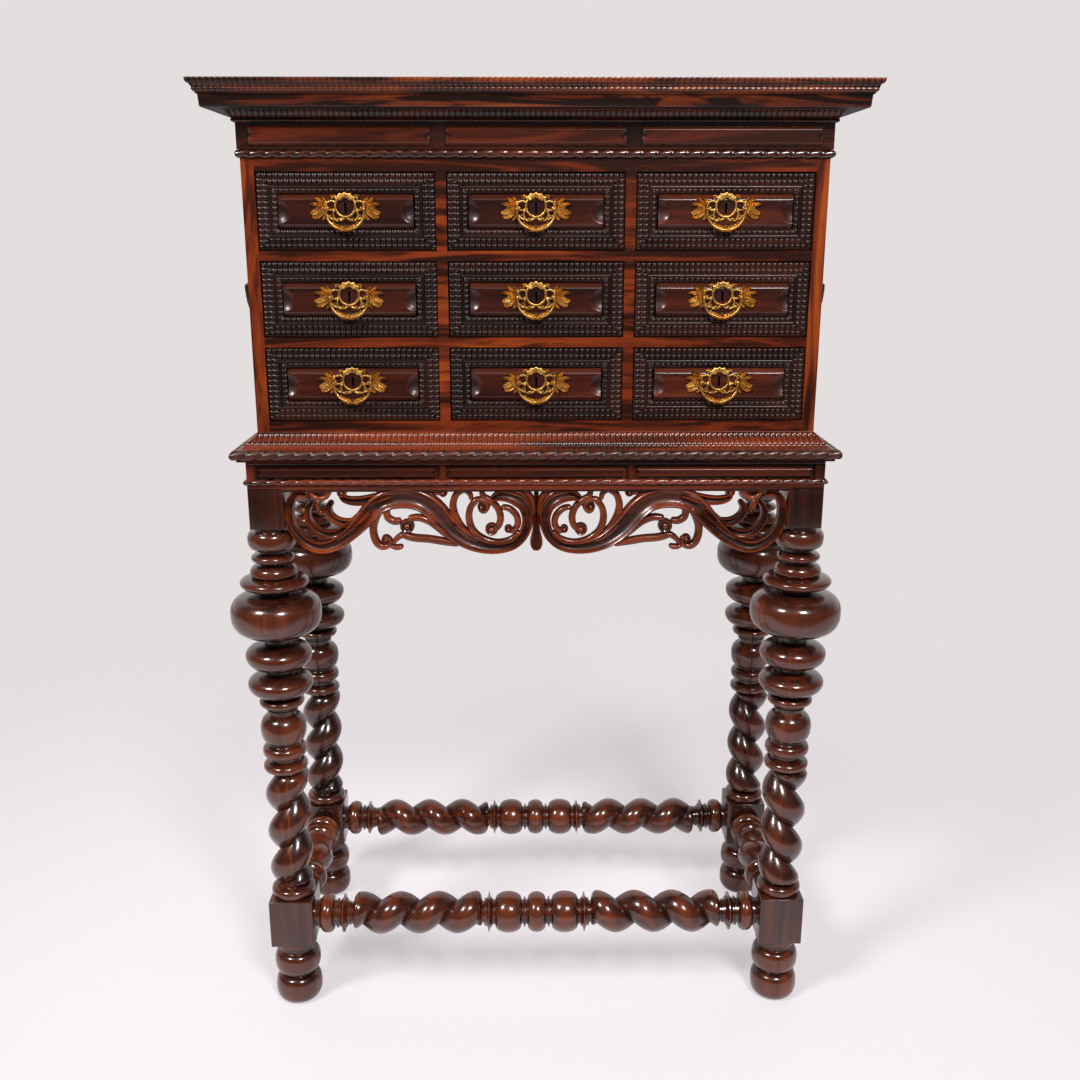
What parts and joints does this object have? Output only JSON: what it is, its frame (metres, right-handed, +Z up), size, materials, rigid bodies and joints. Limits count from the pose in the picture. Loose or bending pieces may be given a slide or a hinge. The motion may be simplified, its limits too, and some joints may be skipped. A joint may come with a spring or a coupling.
{
  "type": "cabinet on stand",
  "caption": "Chest of drawers with ripple-moulded fronts and pierced brass bail mounts, on a stand with twist-turned legs and stretchers and a pierced front apron.",
  "frame": {"origin": "on the floor, midway between the four leg axes, which is the middle of the overall box", "axes": "+Z up, the drawers face -Y, +X to the right seen from the front"},
  "size_m": [0.938, 0.458, 1.443],
  "materials": {
    "rosewood_dark": "gloss",
    "rosewood_red": "gloss",
    "drawer_wood": "gloss",
    "secondary_wood": "plain",
    "gilt_brass": "worn gilt",
    "iron": "blacked"
  },
  "bodies": {
    "cabinet": {"case_side_left": "rosewood_red", "case_side_right": "rosewood_red", "case_bottom": "secondary_wood", "case_back": "secondary_wood", "case_top": "secondary_wood", "drawer_dividers": "rosewood_dark", "cornice": "rosewood_red", "frieze": "rosewood_dark", "rope_moulding_upper": "rosewood_dark", "base_moulding": "rosewood_red", "stand_frame": "rosewood_red", "rope_moulding_lower": "rosewood_dark", "leg_front_left": "rosewood_dark", "leg_front_right": "rosewood_dark", "leg_rear_left": "rosewood_dark", "leg_rear_right": "rosewood_dark", "stretcher_front": "rosewood_dark", "stretcher_rear": "rosewood_dark", "stretcher_left": "rosewood_dark", "stretcher_right": "rosewood_dark", "apron_front": "rosewood_red", "handle_plates": "iron"},
    "drawer_11": {"drawer_11_front": "drawer_wood", "drawer_11_box": "secondary_wood", "drawer_11_mount": "gilt_brass"},
    "bail_11": {"drawer_11_bail": "gilt_brass"},
    "drawer_12": {"drawer_12_front": "drawer_wood", "drawer_12_box": "secondary_wood", "drawer_12_mount": "gilt_brass"},
    "bail_12": {"drawer_12_bail": "gilt_brass"},
    "drawer_13": {"drawer_13_front": "drawer_wood", "drawer_13_box": "secondary_wood", "drawer_13_mount": "gilt_brass"},
    "bail_13": {"drawer_13_bail": "gilt_brass"},
    "drawer_21": {"drawer_21_front": "drawer_wood", "drawer_21_box": "secondary_wood", "drawer_21_mount": "gilt_brass"},
    "bail_21": {"drawer_21_bail": "gilt_brass"},
    "drawer_22": {"drawer_22_front": "drawer_wood", "drawer_22_box": "secondary_wood", "drawer_22_mount": "gilt_brass"},
    "bail_22": {"drawer_22_bail": "gilt_brass"},
    "drawer_23": {"drawer_23_front": "drawer_wood", "drawer_23_box": "secondary_wood", "drawer_23_mount": "gilt_brass"},
    "bail_23": {"drawer_23_bail": "gilt_brass"},
    "drawer_31": {"drawer_31_front": "drawer_wood", "drawer_31_box": "secondary_wood", "drawer_31_mount": "gilt_brass"},
    "bail_31": {"drawer_31_bail": "gilt_brass"},
    "drawer_32": {"drawer_32_front": "drawer_wood", "drawer_32_box": "secondary_wood", "drawer_32_mount": "gilt_brass"},
    "bail_32": {"drawer_32_bail": "gilt_brass"},
    "drawer_33": {"drawer_33_front": "drawer_wood", "drawer_33_box": "secondary_wood", "drawer_33_mount": "gilt_brass"},
    "bail_33": {"drawer_33_bail": "gilt_brass"},
    "handle_left": {"handle_left": "iron"},
    "handle_right": {"handle_right": "iron"}
  },
  "joints": [
    {"name": "drawer_11_slide", "type": "slide", "parent": "cabinet", "child": "drawer_11", "axis": [0, -1, 0], "range_m": [0, 0.24]},
    {"name": "bail_11_swing", "type": "hinge", "parent": "drawer_11", "child": "bail_11", "pos_m": [-0.26567, -0.1792, 1.27615], "axis": [-1, 0, 0], "range_deg": [0, 95]},
    {"name": "drawer_12_slide", "type": "slide", "parent": "cabinet", "child": "drawer_12", "axis": [0, -1, 0], "range_m": [0, 0.24]},
    {"name": "bail_12_swing", "type": "hinge", "parent": "drawer_12", "child": "bail_12", "pos_m": [0, -0.1792, 1.27615], "axis": [-1, 0, 0], "range_deg": [0, 95]},
    {"name": "drawer_13_slide", "type": "slide", "parent": "cabinet", "child": "drawer_13", "axis": [0, -1, 0], "range_m": [0, 0.24]},
    {"name": "bail_13_swing", "type": "hinge", "parent": "drawer_13", "child": "bail_13", "pos_m": [0.26567, -0.1792, 1.27615], "axis": [-1, 0, 0], "range_deg": [0, 95]},
    {"name": "drawer_21_slide", "type": "slide", "parent": "cabinet", "child": "drawer_21", "axis": [0, -1, 0], "range_m": [0, 0.24]},
    {"name": "bail_21_swing", "type": "hinge", "parent": "drawer_21", "child": "bail_21", "pos_m": [-0.26567, -0.1792, 1.15515], "axis": [-1, 0, 0], "range_deg": [0, 95]},
    {"name": "drawer_22_slide", "type": "slide", "parent": "cabinet", "child": "drawer_22", "axis": [0, -1, 0], "range_m": [0, 0.24]},
    {"name": "bail_22_swing", "type": "hinge", "parent": "drawer_22", "child": "bail_22", "pos_m": [0, -0.1792, 1.15515], "axis": [-1, 0, 0], "range_deg": [0, 95]},
    {"name": "drawer_23_slide", "type": "slide", "parent": "cabinet", "child": "drawer_23", "axis": [0, -1, 0], "range_m": [0, 0.24]},
    {"name": "bail_23_swing", "type": "hinge", "parent": "drawer_23", "child": "bail_23", "pos_m": [0.26567, -0.1792, 1.15515], "axis": [-1, 0, 0], "range_deg": [0, 95]},
    {"name": "drawer_31_slide", "type": "slide", "parent": "cabinet", "child": "drawer_31", "axis": [0, -1, 0], "range_m": [0, 0.24]},
    {"name": "bail_31_swing", "type": "hinge", "parent": "drawer_31", "child": "bail_31", "pos_m": [-0.26567, -0.1792, 1.03415], "axis": [-1, 0, 0], "range_deg": [0, 95]},
    {"name": "drawer_32_slide", "type": "slide", "parent": "cabinet", "child": "drawer_32", "axis": [0, -1, 0], "range_m": [0, 0.24]},
    {"name": "bail_32_swing", "type": "hinge", "parent": "drawer_32", "child": "bail_32", "pos_m": [0, -0.1792, 1.03415], "axis": [-1, 0, 0], "range_deg": [0, 95]},
    {"name": "drawer_33_slide", "type": "slide", "parent": "cabinet", "child": "drawer_33", "axis": [0, -1, 0], "range_m": [0, 0.24]},
    {"name": "bail_33_swing", "type": "hinge", "parent": "drawer_33", "child": "bail_33", "pos_m": [0.26567, -0.1792, 1.03415], "axis": [-1, 0, 0], "range_deg": [0, 95]},
    {"name": "handle_left_swing", "type": "hinge", "parent": "cabinet", "child": "handle_left", "pos_m": [-0.439, 0.0085, 1.16346], "axis": [0, 1, 0], "range_deg": [0, 95]},
    {"name": "handle_right_swing", "type": "hinge", "parent": "cabinet", "child": "handle_right", "pos_m": [0.439, 0.0085, 1.16346], "axis": [0, -1, 0], "range_deg": [0, 95]}
  ]
}
